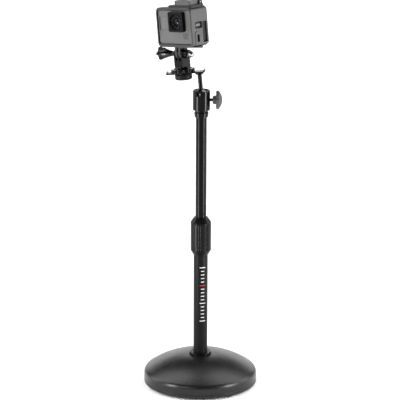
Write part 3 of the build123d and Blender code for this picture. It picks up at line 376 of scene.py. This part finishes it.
def clear_pane():
    """Lens window: clear round the lens, printed black towards its border."""
    finish = Finish("lens_cover_glass", (0.003, 0.003, 0.004), 0.05, specular=0.12)
    clear_radius = 10.4 * MM
    printed = finish.from_axis(lens_point, camera_back) > clear_radius
    smudge = finish.noise(80.0, 4.0, 0.6)
    finish.feed("Roughness", 0.03 + 0.05 * smudge)
    finish.feed("Alpha", 0.1 + 0.9 * printed)
    finish.bump(smudge, depth=0.003 * MM, strength=0.2)
    return finish.material


def circuit():
    """Green board with paler tracks."""
    finish = Finish("board_green", (0.01, 0.08, 0.03), 0.45)
    tracks = finish.cells(700.0)
    finish.feed("Base Color", finish.between(tracks.held(), (0.008, 0.06, 0.02, 1), (0.03, 0.16, 0.06, 1)))
    finish.feed("Roughness", 0.35 + 0.2 * tracks)
    finish.bump(tracks, depth=0.03 * MM, strength=0.5)
    return finish.material


# Moulded finishes give their grey level, roughness, fineness of grain, depth of
# grain, edge rounding and gloss in that order.
finishes = {
    "textured_coat": coated_casting(),
    "satin_paint": painted_tube("satin_black_paint", 0.003, 0.26).material,
    "gloss_paint": painted_tube("gloss_black_paint", 0.002, 0.18).material,
    "rubber_pad": moulded("rubber_black", 0.018, 0.75, 700.0, 0.08 * MM, 0.4 * MM, 0.25),
    "zinc_steel": turned_metal("zinc_steel", (0.56, 0.55, 0.52), 0.3),
    "dark_plastic": moulded("black_plastic", 0.003, 0.28, 1300.0, 0.02 * MM, 0.3 * MM, 0.14),
    "grey_plastic": moulded("charcoal_plastic", 0.04, 0.46, 1500.0, 0.04 * MM, 0.4 * MM, 0.3),
    "gloss_plastic": moulded("gloss_black_plastic", 0.002, 0.14, 500.0, 0.01 * MM, 0.4 * MM, 0.16),
    "white_plastic": moulded("bearing_plastic", 0.6, 0.4, 900.0, 0.03 * MM, 0.3 * MM, 0.4, tint=0.03),
    "black_anodised": moulded("anodised_black", 0.002, 0.16, 2500.0, 0.004 * MM, 0.3 * MM, 0.16),
    "bright_steel": turned_metal("polished_chrome", (0.26, 0.26, 0.27), 0.14),
    "ball_steel": turned_metal("ball_black_steel", (0.11, 0.11, 0.12), 0.22),
    "brass": turned_metal("turned_brass", (0.72, 0.52, 0.24), 0.24),
    "body_rubber": soft_touch(),
    "lens_glass": lens_coating(),
    "screen_glass": glassy("screen_pane", (0.008, 0.008, 0.01), 0.05, (0.014, 0.014, 0.017)),
    "circuit": circuit(),
    "cell": moulded("cell_wrap", 0.1, 0.5),
}

slot_of = {part["node"]: part["material_slot"] for part in frame["record"]["subparts"]}
own_finish = {
    "lower_tube": scale_tube(),
    "lens_window": clear_pane(),
    "status_display": glassy("status_pane", (0.06, 0.06, 0.064), 0.2, (0.08, 0.08, 0.085)),
    "clutch_sleeve": moulded("clutch_plastic", 0.003, 0.25, 1100.0, 0.04 * MM, 0.4 * MM, 0.12),
    "lock_knob": moulded("knob_plastic", 0.05, 0.5, 1200.0, 0.05 * MM, 0.5 * MM, 0.3),
    "lock_screw": moulded("knob_shank_black", 0.012, 0.4, 1200.0, 0.02 * MM, 0.3 * MM, 0.3),
    "frame_shell": frame_plastic(),
    "latch_lever": moulded("latch_plastic", 0.06, 0.42, 1700.0, 0.04 * MM, 0.5 * MM, 0.4),
    "lens_housing": moulded("lens_block_plastic", 0.003, 0.3, 1700.0, 0.01 * MM, 0.4 * MM, 0.12),
    "lens_barrel": moulded("lens_barrel_black", 0.012, 0.5, 1700.0, 0.01 * MM, 0.3 * MM, 0.3),
    # Painted shade: the rear case is a much darker copy of the camera coat so the camera's sides look as if in
    # shadow.
    "rear_shell": moulded("shaded_rear_case", 0.022, 0.5, 1900.0, 0.04 * MM, 0.5 * MM, 0.25),
    "mode_button": moulded("button_plastic", 0.12, 0.4, 1700.0, 0.02 * MM, 0.3 * MM, 0.4),
    "wheel_washer": moulded("washer_black", 0.02, 0.3, 1700.0, 0.01 * MM, 0.3 * MM, 0.4),
}
for name, node in frame["nodes"].items():
    material = own_finish.get(name) or finishes[slot_of[name]]
    for slot in node.material_slots:
        slot.material = material


# ---- Room, lights, camera ------------------------------------------------------
def studio_floor():
    """White floor just under the foot pads."""
    gap = 0.2 * MM
    bpy.ops.object.select_all(action="DESELECT")
    bpy.ops.mesh.primitive_plane_add(size=40.0, location=(0, 0, cad_low.z - gap))
    floor = bpy.context.object
    floor.name = "studio_floor"
    bpy.ops.object.transform_apply(location=True, rotation=True, scale=True)
    finish = Finish("white_sweep", (0.95, 0.95, 0.95), 0.9, specular=0.0)
    finish.feed("Base Color", finish.between(finish.noise(0.8, 2.0), grey(0.94), grey(0.96)))
    floor.data.materials.append(finish.material)


def studio_room():
    """White room, bright behind the object and dim in its reflections."""
    seen_level = 0.9
    reflected_level = 0.06
    room = bpy.data.worlds.new("studio")
    bpy.context.scene.world = room
    room.use_nodes = True
    tree = room.node_tree
    background = tree.nodes["Background"]
    background.inputs["Color"].default_value = (*FULL, 1.0)
    straight_on = Reading(tree, tree.nodes.new("ShaderNodeLightPath").outputs["Is Camera Ray"])
    strength = straight_on * (seen_level - reflected_level) + reflected_level
    tree.links.new(strength.socket, background.inputs["Strength"])


def soft_box(name, place, target, width, height, power, upright="Y"):
    """Rectangular lamp turned to a target: width and height in metres, power in watts."""
    data = bpy.data.lights.new(name, "AREA")
    data.shape = "RECTANGLE"
    data.size = width
    data.size_y = height
    data.energy = power
    light = bpy.data.objects.new(name, data)
    bpy.context.scene.collection.objects.link(light)
    light.location = place
    aim = Vector(target) - Vector(place)
    light.rotation_euler = aim.to_track_quat("-Z", upright).to_euler()


def studio_lights():
    """Panels and a back wall light the room, strips the tube's edges, boxes the camera."""
    floor_behind = (0, 1.4, 0)
    above_base = (0, 0, 0.1)
    lower_tube = (0, 0, 0.19)
    camera_height = (0, 0, 0.45)
    sides = (("left", -1), ("right", 1))
    for side, way in sides:
        soft_box("panel_" + side, (way * 3.4, 1.4, 3.0), floor_behind, 8.5, 2.6, 285.0, upright="X")
    for side, way in sides:
        soft_box("strip_" + side, (way * 0.56, -0.34, 0.19), lower_tube, 0.075, 0.44, 4.6)
    soft_box("back_wall", (0, 3.4, 0.85), above_base, 4.4, 1.3, 36.0)
    soft_box("key_box", (-1.3, -2.2, 1.2), camera_height, 0.9, 0.9, 14.0)
    soft_box("side_box", (1.7, -0.5, 0.8), camera_height, 0.7, 0.9, 9.0)


def long_view():
    """Camera far in front with a long lens, looking a little down."""
    looks_down = 15.411
    leans = 0.25
    stands_at = (-0.0013, -2.7, 1.0)
    view = bpy.data.cameras.new("view")
    view.sensor_width = 36.0
    view.lens = 189.36
    view.clip_start = 0.05
    view.clip_end = 60.0
    eye = bpy.data.objects.new("view", view)
    bpy.context.scene.collection.objects.link(eye)
    tilt = Matrix.Rotation(math.radians(90 - looks_down), 4, "X")
    roll = Matrix.Rotation(math.radians(leans), 4, "Z")
    eye.matrix_world = Matrix.Translation(stands_at) @ tilt @ roll
    bpy.context.scene.camera = eye


studio_floor()
studio_room()
studio_lights()
long_view()
bpy.context.scene.view_settings.view_transform = "Standard"
